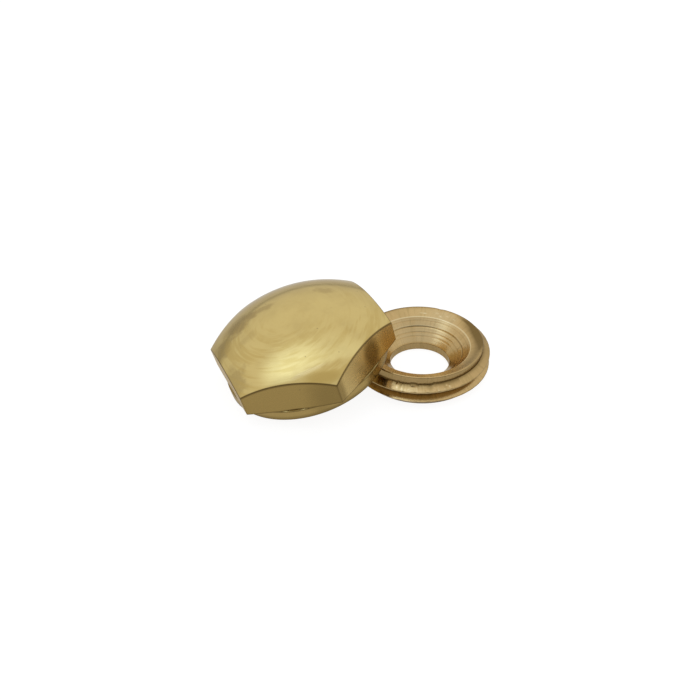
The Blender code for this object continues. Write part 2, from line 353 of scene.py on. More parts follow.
def torn_edge(sizes, bearings):
    """How far the thread's root wanders up and down where the tool tore it."""
    chance = np.random.RandomState(5)
    turns = np.linspace(-math.pi, math.pi, TORN_POINTS)
    torn = np.interp(bearings, turns, chance.uniform(-1, 1, TORN_POINTS))
    starts = run_up(bearings, sizes.torn_from, sizes.torn_from + TORN_EASE)
    ends = run_up(bearings, sizes.torn_to, sizes.torn_to - TORN_EASE)
    return torn * starts * ends * TORN_DEPTH


def last_ridge(sizes, bearings):
    """How far each bearing is back from the last ridge's end, and the height of that ridge's crest there."""
    turn_back = (sizes.thread_end - bearings) % FULL_TURN
    highest = sizes.height - sizes.plain_rim_height - sizes.pitch / 2
    return turn_back, highest - turn_back / FULL_TURN * sizes.pitch


def washer_wall(sizes, bearings, heights):
    """Radius of the washer's threaded outside at each height and bearing."""
    crest_radius = sizes.thread_diameter / 2
    rim = washer_radii(sizes)[2]
    turn_back, crests = last_ridge(sizes, bearings)
    upper = run_up((heights - crests) / sizes.pitch, 0.30, 0.42)
    torn_heights = heights + torn_edge(sizes, bearings) * upper
    radii = ridge_radius(torn_heights, crests, sizes.pitch, crest_radius, sizes.pitch / 16)
    radii = np.where(heights > crests + sizes.pitch / 2, rim, radii)
    faded = rim + (radii - rim) * run_up(turn_back, 0, sizes.thread_fade)
    radii = np.where(heights > crests - sizes.pitch / 2, faded, radii)
    chamfer = crest_radius - sizes.foot_chamfer + heights
    return np.minimum(np.maximum(radii, rim), chamfer)


def washer_mesh(sizes):
    """The washer as one closed skin."""
    hole, sink, rim = washer_radii(sizes)
    bearings = np.linspace(-math.pi, math.pi, sizes.columns, endpoint=False)
    every_bearing = np.zeros(sizes.columns)
    inside = washer_rows(sizes)
    inside_radii = inside[:, :1] + every_bearing
    on_cone = (inside_radii > hole + EDGE_MARGIN) & (inside_radii < sink - EDGE_MARGIN)
    marks = sizes.tool_mark_depth * tool_rings(sizes, inside_radii) * on_cone
    over_face = run_up(inside_radii, sink, rim)
    nick = near(bearings, sizes.nick_bearing, 0.035) * near(over_face, 0.75, 0.25) * (over_face > 0)
    inside_heights = inside[:, 1:] - marks - NICK_DEPTH * nick
    wall_heights = np.linspace(inside[-1, 1], 0.0, WALL_ROWS + 1)[1:, None] + every_bearing
    wall_radii = washer_wall(sizes, bearings, wall_heights)
    foot_ways = np.arange(1, FOOT_ROWS + 1)[:, None] / (FOOT_ROWS + 1)
    foot_radii = wall_radii[-1] + (hole - wall_radii[-1]) * foot_ways
    radii = np.vstack([inside_radii, wall_radii, foot_radii])
    heights = np.vstack([inside_heights, wall_heights, np.zeros_like(foot_radii)])
    painted_shading = washer_painted_shading(sizes, bearings, radii, heights)
    return skin("threaded_washer", bearings, radii, heights, painted_shading, closed=True)


def washer_painted_shading(sizes, bearings, radii, heights):
    """Painted shading all over the washer: -1 for painted shade and 1 for painted highlights."""
    chance = np.random.RandomState(8)
    painted_shading = rim_painted_shading(sizes, bearings, radii, heights, chance)
    painted_shading += thread_painted_shading(sizes, bearings, radii, heights, chance)
    painted_shading += countersink_painted_shading(sizes, bearings, radii, heights)
    return np.clip(painted_shading, -1, 1)


def rim_painted_shading(sizes, bearings, radii, heights, chance):
    """Painted shade and highlights on the rim's face, and a painted bright line along its inner edge."""
    _, sink, rim = washer_radii(sizes)
    on_face = heights > sizes.height - sizes.rim_fall
    at_back = run_up(bearings, -0.4, -0.1) * run_up(bearings, math.pi, math.pi - 0.1)
    dark_band_stretch = run_up(bearings, -0.35, 0.0) * run_up(bearings, 0.85, 0.35)
    brown_shade_stretch = run_up(bearings, -1.3, -0.7) * run_up(bearings, 0.75, 0.35)
    # A painted glint on the rim's face, and a painted dark line along its outer edge at the back.
    painted_shading = 0.3 * near(bearings, 1.0, 0.35) - near(radii, rim, 0.24 * MM) * at_back
    # Painted shade on the right of the rim's face: a dark band and a broad brown band.
    painted_shading -= 1.7 * near(radii, rim - 0.38 * MM, 0.15 * MM) * dark_band_stretch
    painted_shading -= 0.62 * near(radii, rim - 0.6 * MM, 0.55 * MM) * brown_shade_stretch
    painted_shading -= 0.55 * near(radii, rim - 0.6 * MM, 0.4 * MM) * near(bearings, 0.15, 0.3)
    # Small painted glints.
    for bearing, way in zip(chance.uniform(0.8, 1.5, SMALL_GLINTS), chance.uniform(0.10, 0.55, SMALL_GLINTS)):
        painted_shading += 0.7 * near(radii, sink + way * (rim - sink), 0.045 * MM) * near(bearings, bearing, 0.028)
    # A painted bright line along the countersink's edge.
    at_inner_edge = near(radii, sink, 0.06 * MM) * (heights > sizes.height - 1.4 * sizes.rim_fall)
    return painted_shading * on_face + 0.9 * at_inner_edge


def thread_painted_shading(sizes, bearings, radii, heights, chance):
    """Painted shade in the thread's roots, wider where it is torn; painted glints, dark specks and lighter
    and darker stretches on the last ridge.
    """
    rim = washer_radii(sizes)[2]
    crests = last_ridge(sizes, bearings)[1]
    from_crest = (heights + torn_edge(sizes, bearings) - crests) / sizes.pitch
    from_nearest = np.abs((from_crest + 0.5) % 1 - 0.5)
    on_thread = (from_crest < 0.62) & (radii > rim - 0.2 * MM)
    torn = (bearings > sizes.torn_from) & (bearings < sizes.torn_to + 0.3) & (from_crest > 0)
    # Painted shade in the roots.
    painted_shading = -1.2 * near(from_nearest, 0.5, np.where(torn, 0.21, 0.13)) * on_thread
    on_ridge = (radii > rim + 0.1 * MM) & (np.abs(from_crest) < 0.5)
    # Painted glints and dark specks on the last ridge.
    for bearing, way in zip(chance.uniform(-2.1, -1.2, SPECKS), chance.uniform(-0.05, 0.35, SPECKS)):
        speck = near(from_crest, way, 0.035) * near(bearings, bearing, 0.010)
        painted_shading += chance.uniform(-0.6, 1.0) * speck * on_ridge
    # A painted lighter stretch at the front of the ridge and a painted darker one on its right.
    return painted_shading + (0.25 * near(bearings, -1.6, 0.4) - 0.22 * near(bearings, -0.2, 0.6)) * on_ridge


def countersink_painted_shading(sizes, bearings, radii, heights):
    """Painted shade in the tool's rings, a painted highlight beside each, and two painted glints."""
    sink = washer_radii(sizes)[1]
    on_cone = (radii < sink - EDGE_MARGIN) & (heights > sizes.foot_chamfer)
    # Painted shade in each ring and a painted highlight beside it.
    rings = 0.4 * tool_rings(sizes, radii - 0.1 * MM) - 0.8 * tool_rings(sizes, radii)
    # Two painted glints on the countersink's far side.
    glint_end = math.radians(95)
    glint = run_up(bearings, glint_end, glint_end - 0.07) * near(bearings, 1.2, 0.5)
    return on_cone * (rings + 0.34 * glint + 0.26 * near(bearings, 1.9, 0.4))


class MakeWasher(bpy.types.Operator):
    """Model the threaded cup washer"""
    bl_idname = "screwcap.make_washer"
    bl_label = "Threaded washer"
    bl_options = {"REGISTER", "UNDO"}

    def execute(self, context):
        sizes = context.scene.screwcap_washer
        middle = (WASHER_LOW + WASHER_HIGH) / 2
        matrix = Matrix.Translation((middle.x, middle.y, WASHER_LOW.z))
        place_piece("turned_washer", washer_mesh(sizes), matrix, "threaded_washer",
                    turned_brass(context.scene.screwcap_brass))
        return {"FINISHED"}


# Hexagonal cap

DOME_WAYS = [step / 44 for step in range(1, 44)] + [0.988]  # how far out the dome's rows are
THREAD_ROWS = 26
ROOF_ROWS = 6
FOOT_BREAK = 0.06 * MM   # rounding along the hexagon's lower edge
SKIRT_BREAK = 0.03 * MM  # rounding at the skirt's top and its chamfer
GROOVE_AND_FOOT_SHADE = -0.8      # painted shade in the groove over the skirt and along the skirt's foot


def turn_from_corner(bearings):
    """How far round each bearing is from the hexagon's nearest corner."""
    return np.abs((bearings + SECTOR / 2) % SECTOR - SECTOR / 2)


def hexagon_edge(bearings, half_flats, rounding):
    """Distance from the axis to the hexagon's outline; the corners at each sixth of a turn are rounded."""
    from_corner = turn_from_corner(bearings)
    flat = half_flats / np.cos(SECTOR / 2 - from_corner)
    centre = (half_flats - rounding) / math.cos(SECTOR / 2)
    sideways = centre * np.sin(from_corner)
    inside = np.clip(rounding ** 2 - sideways ** 2, 0, None)
    arc = centre * np.cos(from_corner) + np.sqrt(inside)
    arc_end = math.atan2(rounding * math.sin(SECTOR / 2), centre + rounding * math.cos(SECTOR / 2))
    return np.where(from_corner < arc_end, arc, flat)


def cap_bearings(sizes, half_flats):
    """Bearings of the cap's columns, with a few more close to each corner."""
    even = np.arange(sizes.columns) * FULL_TURN / sizes.columns
    reach = sizes.edge_rounding * math.sin(SECTOR / 2) / half_flats
    close = [corner * SECTOR + side * reach for corner in range(6) for side in (-1.0, -0.5, 0.5, 1.0)]
    return np.unique(np.round(np.concatenate([even, np.array(close) % FULL_TURN]), 6))


def dome_rise(sizes, radius, corner_radius):
    """Height of the dome at a radius, above the hexagon's top corners."""
    crown = math.sqrt(sizes.dome_radius ** 2 - radius ** 2)
    return crown - math.sqrt(sizes.dome_radius ** 2 - corner_radius ** 2)


def cap_shape(sizes, washer):
    """Radii and heights in the cap that follow from its sizes and the washer's."""
    shape = SimpleNamespace()
    shape.groove = washer.thread_diameter / 2 + sizes.thread_clearance
    shape.bore = shape.groove - washer.pitch * 5 / 8 * math.cos(HALF_FORM_ANGLE)
    shape.relief = shape.groove + sizes.relief_step
    shape.skirt = shape.groove + sizes.skirt_wall
    shape.half_flats = shape.skirt - sizes.flat_setback
    shape.corner = shape.half_flats / math.cos(SECTOR / 2)
    shape.roof = washer.height + sizes.bore_spare - sizes.skirt_depth
    shape.face = shape.roof + sizes.crown_wall - dome_rise(sizes, shape.groove, shape.corner)
    return shape


def outside_section(sizes, shape, edge, corner_darkening):
    """The cap's outside at one bearing, as (radius, height, painted shading) points from the dome to the
    bore's mouth.

    Edge is the hexagon's radius there. A fine groove parts the underside from the skirt; it is fainter
    where the flat lies inside the skirt.
    """
    lift_from = shape.skirt + sizes.lift_start
    foot = sizes.corner_lift / (shape.corner - lift_from) * max(edge - lift_from, 0.0)
    outside_skirt = min(max(edge - shape.skirt, 0.0) / (0.1 * MM), 1.0)
    inner = min(edge, shape.skirt) - (0.004 + 0.056 * outside_skirt) * MM
    top = shape.face + dome_rise(sizes, edge, shape.corner)
    toe = shape.skirt - sizes.skirt_chamfer
    dome = [(edge * way, shape.face + dome_rise(sizes, edge * way, shape.corner), 0, 0.0)
            for way in DOME_WAYS]
    return rounded(dome + [
        # A darker line along the dome's edge, and darker lines down the hexagon's corners.
        (edge, top, sizes.edge_rounding, -1.0),
        (edge, top - 0.25 * MM, 0, corner_darkening),
        (edge, foot + 0.2 * MM, 0, corner_darkening),
        # Painted shade in the groove over the skirt, and further down along the skirt's foot.
        (edge, foot, FOOT_BREAK, GROOVE_AND_FOOT_SHADE),
        (inner, 0.0, 0, GROOVE_AND_FOOT_SHADE),
        (shape.skirt, -0.05 * MM, SKIRT_BREAK, GROOVE_AND_FOOT_SHADE),
        (shape.skirt, -0.2 * MM, 0, 0.0),
        (shape.skirt, -0.5 * sizes.skirt_depth, 0, 0.0),
        (shape.skirt, sizes.skirt_chamfer - sizes.skirt_depth, SKIRT_BREAK, GROOVE_AND_FOOT_SHADE),
        (toe, -sizes.skirt_depth, SKIRT_BREAK, GROOVE_AND_FOOT_SHADE),
        (shape.relief, -sizes.skirt_depth, 0, 0.0),
    ], 4)


def bore_rows(sizes, shape, washer, bearings):
    """Radii and heights of the cap's inside: up the thread, past its relief and in under the roof."""
    mouth = shape.relief - shape.bore
    relief_foot = shape.roof - sizes.relief_height
    every_bearing = np.zeros(len(bearings))
    levels = np.linspace(mouth - sizes.skirt_depth, relief_foot - mouth, THREAD_ROWS)[:, None] + every_bearing
    crests = bearings / FULL_TURN * washer.pitch
    half_crest = washer.pitch / 16 + sizes.thread_clearance
    thread = np.maximum(ridge_radius(levels, crests, washer.pitch, shape.groove, half_crest), shape.bore)
    thread[0] = shape.bore
    thread[-1] = shape.bore
    above = [(shape.relief, relief_foot), (shape.relief, shape.roof - 0.4 * MM), (shape.relief, shape.roof)]
    for step in range(ROOF_ROWS):
        way = 1 - (step + 1) / (ROOF_ROWS + 1)
        above.append((shape.relief * way, shape.roof + sizes.roof_rise * (1 - way)))
    above = np.array(above)
    radii = np.vstack([thread, above[:, :1] + every_bearing])
    return radii, np.vstack([levels, above[:, 1:] + every_bearing])


def cap_mesh(sizes, washer):
    """The cap as one closed skin, its underside at height 0."""
    shape = cap_shape(sizes, washer)
    bearings = cap_bearings(sizes, shape.half_flats)
    edges = hexagon_edge(bearings, shape.half_flats, sizes.edge_rounding)
    # Darker lines down the hexagon's corners.
    corner_darkening = -0.6 * near(turn_from_corner(bearings), 0.0, 0.008)
    outside = np.array([outside_section(sizes, shape, edge, darkening)
                        for edge, darkening in zip(edges, corner_darkening)])
    outside_radii, outside_heights, outside_shading = outside.transpose(2, 1, 0)
    inside_radii, inside_heights = bore_rows(sizes, shape, washer, bearings)
    radii = np.vstack([outside_radii, inside_radii])
    heights = np.vstack([outside_heights, inside_heights])
    painted_shading = np.vstack([outside_shading, np.zeros_like(inside_radii)])
    return skin("hex_cap", bearings, radii, heights, painted_shading, closed=False)


def cap_matrix(sizes, washer):
    """Where the cap leans, the low side of its skirt on the ground."""
    skirt = cap_shape(sizes, washer).skirt
    feet = [(skirt, sizes.skirt_chamfer - sizes.skirt_depth),
            (skirt - sizes.skirt_chamfer, -sizes.skirt_depth)]
    height = max(radius * math.sin(sizes.lean) - level * math.cos(sizes.lean) for radius, level in feet)
    hinge = Vector((-math.sin(sizes.lean_towards), math.cos(sizes.lean_towards), 0.0))
    turn = Matrix.Rotation(sizes.lean, 4, hinge) @ Matrix.Rotation(sizes.turn, 4, "Z")
    middle = (WASHER_LOW + WASHER_HIGH) / 2
    place = Vector((middle.x + sizes.distance * math.cos(sizes.side),
                    middle.y + sizes.distance * math.sin(sizes.side), WASHER_LOW.z + height))
    return Matrix.Translation(place) @ turn


class MakeCap(bpy.types.Operator):
    """Model the domed hexagonal cap"""
    bl_idname = "screwcap.make_cap"
    bl_label = "Hexagonal cap"
    bl_options = {"REGISTER", "UNDO"}

    def execute(self, context):
        sizes = context.scene.screwcap_cap
        washer = context.scene.screwcap_washer
        place_piece("polished_cap", cap_mesh(sizes, washer), cap_matrix(sizes, washer), "hex_cap",
                    polished_brass(context.scene.screwcap_brass))
        return {"FINISHED"}


# Shader nodes


def add_node(tree, kind, **settings):
    """Add a node, set its own settings and return it."""
    node = tree.nodes.new(kind)
    for key, value in settings.items():
        setattr(node, key, value)
    return node


def feed(tree, socket, value):
    """Link an output to a socket, or set the socket's value."""
    if isinstance(value, bpy.types.NodeSocket):
        tree.links.new(value, socket)
    elif value is not None:
        socket.default_value = value


def calculate(tree, operation, first, second=None, third=None, clamp=False):
    """A Math node's output."""
    node = add_node(tree, "ShaderNodeMath", operation=operation, use_clamp=clamp)
    for socket, value in zip(node.inputs, (first, second, third)):
        feed(tree, socket, value)
    return node.outputs[0]


def calculate_vector(tree, operation, first, second=None):
    """A Vector Math node's outputs."""
    node = add_node(tree, "ShaderNodeVectorMath", operation=operation)
    feed(tree, node.inputs[0], first)
    feed(tree, node.inputs[1], second)
    return node.outputs


def separate(tree, vector):
    """A vector's three parts."""
    node = add_node(tree, "ShaderNodeSeparateXYZ")
    feed(tree, node.inputs[0], vector)
    return node.outputs


def ramp_between(tree, value, low, high):
    """0 below low and 1 above high, with a smooth run between."""
    node = add_node(tree, "ShaderNodeMapRange", interpolation_type="SMOOTHSTEP")
    for name, number in (("Value", value), ("From Min", low), ("From Max", high)):
        feed(tree, node.inputs[name], number)
    return node.outputs[0]


def without(tree, mask):
    """1 where a mask is 0, and 0 where it is 1."""
    return calculate(tree, "SUBTRACT", 1.0, mask)


def opaque(tone):
    """A colour as a socket takes it; an output stays as it is."""
    return tone if isinstance(tone, bpy.types.NodeSocket) else (*tone, 1.0)


def blend_colour(tree, factor, first, second):
    """Mix two colours by a factor."""
    node = add_node(tree, "ShaderNodeMix", data_type="RGBA")
    feed(tree, node.inputs[0], factor)
    feed(tree, node.inputs[6], opaque(first))
    feed(tree, node.inputs[7], opaque(second))
    return node.outputs[2]


def lay_over(tree, base, tone, mask, weight):
    """Lay a colour over a base where a mask is, as strongly as the weight says."""
    return blend_colour(tree, calculate(tree, "MULTIPLY", mask, weight), base, tone)


def noise(tree, place, scale, detail):
    """A noise texture's value."""
    node = add_node(tree, "ShaderNodeTexNoise")
    for name, value in (("Vector", place), ("Scale", scale), ("Detail", detail), ("Roughness", 0.6)):
        feed(tree, node.inputs[name], value)
    return node.outputs["Fac"]


# Node groups that the materials place


def new_group(name, inputs, outputs):
    """An empty shader node group with named inputs and outputs."""
    tree = bpy.data.node_groups.new(name, "ShaderNodeTree")
    for label, kind, default in inputs:
        socket = tree.interface.new_socket(name=label, in_out="INPUT", socket_type=kind)
        if default is not None:
            socket.default_value = default
    for label, kind in outputs:
        tree.interface.new_socket(name=label, in_out="OUTPUT", socket_type=kind)
    return tree, tree.nodes.new("NodeGroupInput").outputs, tree.nodes.new("NodeGroupOutput").inputs


def use_group(tree, group, **values):
    """Place a node group in a tree, with its own values; underscores in the names stand for spaces."""
    node = add_node(tree, "ShaderNodeGroup", node_tree=group)
    for name, value in values.items():
        feed(tree, node.inputs[name.replace("_", " ")], value)
    return node.outputs


def lathe_lines_group():
    """Fine rings round an axis, as a lathe or a polishing wheel leaves them."""
    name = "Lathe lines"
    if name in bpy.data.node_groups:
        return bpy.data.node_groups[name]
    tree, given, out = new_group(name, [("Place", "NodeSocketVector", None),
                                        ("Axis Place", "NodeSocketVector", (0.0, 0.0, 0.0)),
                                        ("Lines per mm", "NodeSocketFloat", 8.0),
                                        ("Wander", "NodeSocketFloat", 1.0)],
                                 [("Lines", "NodeSocketFloat")])
    shifted = calculate_vector(tree, "SUBTRACT", given["Place"], given["Axis Place"])[0]
    across, along, up = separate(tree, shifted)
    squared = calculate(tree, "ADD", calculate(tree, "MULTIPLY", across, across),
                        calculate(tree, "MULTIPLY", along, along))
    radius = calculate(tree, "SQRT", calculate(tree, "ADD", squared, 0.01))
    vector = add_node(tree, "ShaderNodeCombineXYZ")
    feed(tree, vector.inputs[0], calculate(tree, "MULTIPLY", radius, given["Lines per mm"]))
    for index, part in ((1, across), (2, along)):
        direction = calculate(tree, "DIVIDE", part, radius)
        feed(tree, vector.inputs[index], calculate(tree, "MULTIPLY", direction, given["Wander"]))
    texture = add_node(tree, "ShaderNodeTexNoise", noise_dimensions="4D")
    feed(tree, texture.inputs["Vector"], vector.outputs[0])
    feed(tree, texture.inputs["W"], calculate(tree, "MULTIPLY", up, given["Lines per mm"]))
    feed(tree, texture.inputs["Scale"], 1.0)
    feed(tree, texture.inputs["Detail"], 2.0)
    feed(tree, out["Lines"], texture.outputs["Fac"])
    return tree


def smudge_group():
    """A soft, uneven mark round a middle."""
    name = "Smudge"
    if name in bpy.data.node_groups:
        return bpy.data.node_groups[name]
    tree, given, out = new_group(name, [("Place", "NodeSocketVector", None),
                                        ("Middle", "NodeSocketVector", (0.0, 0.0, 0.0)),
                                        ("Reach", "NodeSocketVector", (1.0, 1.0, 1.0)),
                                        ("Turn", "NodeSocketFloat", 0.0),
                                        ("Unevenness", "NodeSocketFloat", 0.6)],
                                 [("Mask", "NodeSocketFloat")])
    shifted = calculate_vector(tree, "SUBTRACT", given["Place"], given["Middle"])[0]
    turned = add_node(tree, "ShaderNodeVectorRotate", rotation_type="Z_AXIS")
    feed(tree, turned.inputs["Vector"], shifted)
    feed(tree, turned.inputs["Angle"], given["Turn"])
    scaled = calculate_vector(tree, "DIVIDE", turned.outputs[0], given["Reach"])[0]
    distance = calculate_vector(tree, "LENGTH", scaled)["Value"]
    rough = calculate(tree, "SUBTRACT", noise(tree, given["Place"], 0.9, 4.0), 0.5)
    uneven = calculate(tree, "MULTIPLY_ADD", rough, given["Unevenness"], distance)
    feed(tree, out["Mask"], without(tree, ramp_between(tree, uneven, 0.35, 1.05)))
    return tree


def pits_group():
    """Small scattered pits."""
    name = "Pits"
    if name in bpy.data.node_groups:
        return bpy.data.node_groups[name]
    tree, given, out = new_group(name, [("Place", "NodeSocketVector", None),
                                        ("Per mm", "NodeSocketFloat", 1.0),
                                        ("Size", "NodeSocketFloat", 0.12)],
                                 [("Mask", "NodeSocketFloat")])
    cells = add_node(tree, "ShaderNodeTexVoronoi")
    feed(tree, cells.inputs["Vector"], given["Place"])
    feed(tree, cells.inputs["Scale"], given["Per mm"])
    near_middle = without(tree, ramp_between(tree, cells.outputs["Distance"], 0.02, given["Size"]))
    chance = add_node(tree, "ShaderNodeSeparateColor")
    feed(tree, chance.inputs[0], cells.outputs["Color"])
    some = ramp_between(tree, chance.outputs[0], 0.55, 0.8)
    feed(tree, out["Mask"], calculate(tree, "MULTIPLY", near_middle, some))
    return tree


def painted_shading_group():
    """Masks for darkening and for painted highlights, from a mesh's painted shading."""
    name = "Edge wear"
    if name in bpy.data.node_groups:
        return bpy.data.node_groups[name]
    tree, given, out = new_group(name, [("Wear", "NodeSocketFloat", 0.0)],
                                 [("Darkening", "NodeSocketFloat"), ("Highlight", "NodeSocketFloat")])
    feed(tree, out["Darkening"], calculate(tree, "MULTIPLY", given["Wear"], -1.0, clamp=True))
    feed(tree, out["Highlight"], calculate(tree, "MAXIMUM", given["Wear"], 0.0))
    return tree


# Brass

# How strongly painted shade and darker lines, and painted highlights, are laid over the colour.
DARKENING_SHARE = 0.9
HIGHLIGHT_SHARE = 0.8
POLISH_DEPTH = 0.005 * MM   # of the lines that polishing leaves
TURNING_DEPTH = 0.006 * MM  # of the lines that turning leaves
PIT_COLOUR = (0.12, 0.09, 0.05)

# Marks in the cap's own place: middle and reach in millimetres, turn, and how strong they are.
DOME_SMUDGES = (
    ((6.2, 0.0, 4.7), (2.3, 2.6, 3.0), 0.35, 0.85),
    ((3.7, -1.3, 5.7), (2.6, 0.9, 2.0), -0.3, 0.6),
    ((5.0, -1.0, 5.3), (2.4, 1.2, 2.0), -0.2, 0.8),
    ((-3.2, -3.6, 5.4), (1.7, 1.0, 2.0), 0.4, 0.5),
    ((7.9, 2.4, 3.8), (1.8, 2.6, 3.0), 0.5, 0.7),
    ((4.6, 2.8, 5.3), (1.6, 0.8, 2.0), -0.5, 0.3),
    ((6.0, 7.6, 3.3), (2.4, 2.6, 3.0), 0.3, 0.6),
)

# The same, and the colour that each mark has: a darker band in the swirl colour near the dome's front edge,
# and a pale streak that is a painted highlight along the edge of the dome's bright reflection.
DOME_STREAKS = (
    ((-3.9, 8.4, 3.3), (2.6, 0.75, 2.0), -0.2, 0.9, "swirl"),
    ((-2.4, 8.0, 3.7), (2.4, 0.30, 2.0), -0.40, 0.16, "painted_highlight_streak"),
)
# Painted shade and painted reflections on the flats: more painted shade at the front flat's end, and on the
# flat beside the washer a painted reflection of the washer and a painted dark reflection of the gap under it.
FLAT_PAINTED_REFLECTIONS = (
    ((-5.2, 9.0, 1.0), (4.5, 1.0, 5.0), 0.0, 0.8, "front_shade_end"),
    ((-10.2, 0.8, 2.0), (1.9, 2.6, 4.0), 0.0, 0.8, "washer_reflection_tone"),
    ((-8.3, 3.7, 1.7), (1.5, 1.9, 2.6), 0.0, 0.8, "gap_reflection_dark"),
)

# Where handling has worn the swirls off the dome.
WORN_MIDDLE = (-1.0, -1.2, 6.0)
WORN_REACH = (9.5, 7.5, 30.0)


def start_material(name):
    """A new node material, its shader, and the object's own place in millimetres and normal."""
    material = bpy.data.materials.new(name)
    material.use_nodes = True
    tree = material.node_tree
    shader = tree.nodes["Principled BSDF"]
    shader.inputs["Metallic"].default_value = 1.0
    coordinates = add_node(tree, "ShaderNodeTexCoord")
    place = add_node(tree, "ShaderNodeVectorMath", operation="SCALE")
    feed(tree, place.inputs[0], coordinates.outputs["Object"])
    feed(tree, place.inputs["Scale"], 1 / MM)
    return material, tree, shader, place.outputs[0], coordinates.outputs["Normal"]


def shading_masks(tree):
    """The mesh's painted shading, as a mask for darkening and one for painted highlights."""
    painted_shading = add_node(tree, "ShaderNodeAttribute", attribute_name="painted_shading").outputs["Fac"]
    masks = use_group(tree, painted_shading_group(), Wear=painted_shading)
    return masks["Darkening"], masks["Highlight"]


def add_bump(tree, shader, height, distance):
    """Feed a height into the shader's normal."""
    bump = add_node(tree, "ShaderNodeBump")
    feed(tree, bump.inputs["Height"], height)
    feed(tree, bump.inputs["Distance"], distance)
    feed(tree, bump.inputs["Strength"], 1.0)
    feed(tree, shader.inputs["Normal"], bump.outputs[0])


def smudge_mask(tree, place, middle, reach, turn, unevenness):
    """Where one mark lies."""
    return use_group(tree, smudge_group(), Place=place, Middle=middle, Reach=reach, Turn=turn,
                     Unevenness=unevenness)["Mask"]


def dome_handling(tree, place, dome):
    """How much handling has dulled the dome, in smudges and faint clouds."""
    handled = 0.0
    for middle, reach, turn, weight in DOME_SMUDGES:
        mask = smudge_mask(tree, place, middle, reach, turn, 1.5)
        handled = calculate(tree, "MAXIMUM", handled, calculate(tree, "MULTIPLY", mask, weight))
    clouds = ramp_between(tree, noise(tree, place, 0.35, 3.0), 0.4, 0.75)
    handled = calculate(tree, "MAXIMUM", handled, calculate(tree, "MULTIPLY", clouds, 0.2))
    return calculate(tree, "MULTIPLY", handled, dome)


def flats_colour(tree, look, place, normal):
    """Drawn brass, with painted shade on the front flat, the skirt darker, and painted reflections on the
    flats.
    """
    above = ramp_between(tree, separate(tree, place)[2], -0.06, 0.04)
    # Painted shade on the front flat, picked out by its normal, and a darker skirt below the hexagon.
    faces_front = ramp_between(tree, separate(tree, normal)[1], 0.80, 0.95)
    front = calculate(tree, "MULTIPLY", faces_front, above)
    skirt = calculate(tree, "MULTIPLY_ADD", above, -0.7, 0.7)
    flats = blend_colour(tree, calculate(tree, "MAXIMUM", front, skirt), look.drawn, look.front_shade_and_skirt_tone)
    # Painted shade at the front flat's end, and painted reflections of the washer and of the dark gap beside
    # it.
    for middle, reach, turn, weight, tone in FLAT_PAINTED_REFLECTIONS:
        mask = smudge_mask(tree, place, middle, reach, turn, 0.2)
        flats = lay_over(tree, flats, getattr(look, tone), mask, weight)
    return flats


def polished_brass(look):
    """Polished dome with swirls, smudges, pits and a painted highlight streak; duller flats and skirt, with
    painted shade and painted reflections on the flats.
    """
    material, tree, shader, place, normal = start_material("polished_brass")
    dome = ramp_between(tree, separate(tree, normal)[2], 0.62, 0.72)
    handled = dome_handling(tree, place, dome)
    fine = use_group(tree, lathe_lines_group(), Place=place, Axis_Place=(1.0, 1.5, 0.0), Lines_per_mm=3.0,
                     Wander=1.2)["Lines"]
    broad = use_group(tree, lathe_lines_group(), Place=place, Axis_Place=(-1.0, -1.0, 0.0), Lines_per_mm=1.1,
                      Wander=1.4)["Lines"]
    lines = calculate(tree, "ADD", broad, fine)
    swirl = without(tree, ramp_between(tree, lines, 0.80, 1.10))
    worn = smudge_mask(tree, place, WORN_MIDDLE, WORN_REACH, 0.0, 0.8)
    fresh = calculate(tree, "MULTIPLY", calculate(tree, "MULTIPLY_ADD", worn, -0.85, 1.0), dome)
    pits = use_group(tree, pits_group(), Place=place, Per_mm=0.9, Size=0.10)["Mask"]
    darkening, _ = shading_masks(tree)

    base = blend_colour(tree, dome, flats_colour(tree, look, place, normal), look.polished)
    base = blend_colour(tree, handled, base, look.tarnish)
    base = lay_over(tree, base, look.swirl, swirl, calculate(tree, "MULTIPLY", fresh, 0.6))
    # A darker band near the dome's front edge, and the painted highlight streak.
    for middle, reach, turn, weight, tone in DOME_STREAKS:
        mask = smudge_mask(tree, place, middle, reach, turn, 0.5)
        base = lay_over(tree, base, getattr(look, tone), calculate(tree, "MULTIPLY", mask, dome), weight)
    base = lay_over(tree, base, PIT_COLOUR, pits, 0.5)
    # Painted shade in the groove and along the skirt's foot, and darker lines along the edges, in the edge
    # colour.
    feed(tree, shader.inputs["Base Color"], lay_over(tree, base, look.edge, darkening, DARKENING_SHARE))

    roughness = calculate(tree, "MULTIPLY_ADD", fine, 0.10, look.polished_roughness - 0.05)
    roughness = calculate(tree, "MULTIPLY_ADD", handled, 0.12, roughness)
    drawn = calculate(tree, "MULTIPLY", without(tree, dome), look.drawn_roughness)
    feed(tree, shader.inputs["Roughness"], calculate(tree, "ADD", roughness, drawn))
    height = calculate(tree, "MULTIPLY", lines, calculate(tree, "MULTIPLY_ADD", fresh, 0.8, 0.2))
    add_bump(tree, shader, calculate(tree, "SUBTRACT", height, pits), POLISH_DEPTH)
    shader.inputs["Specular Tint"].default_value = opaque(look.tint)
    return material


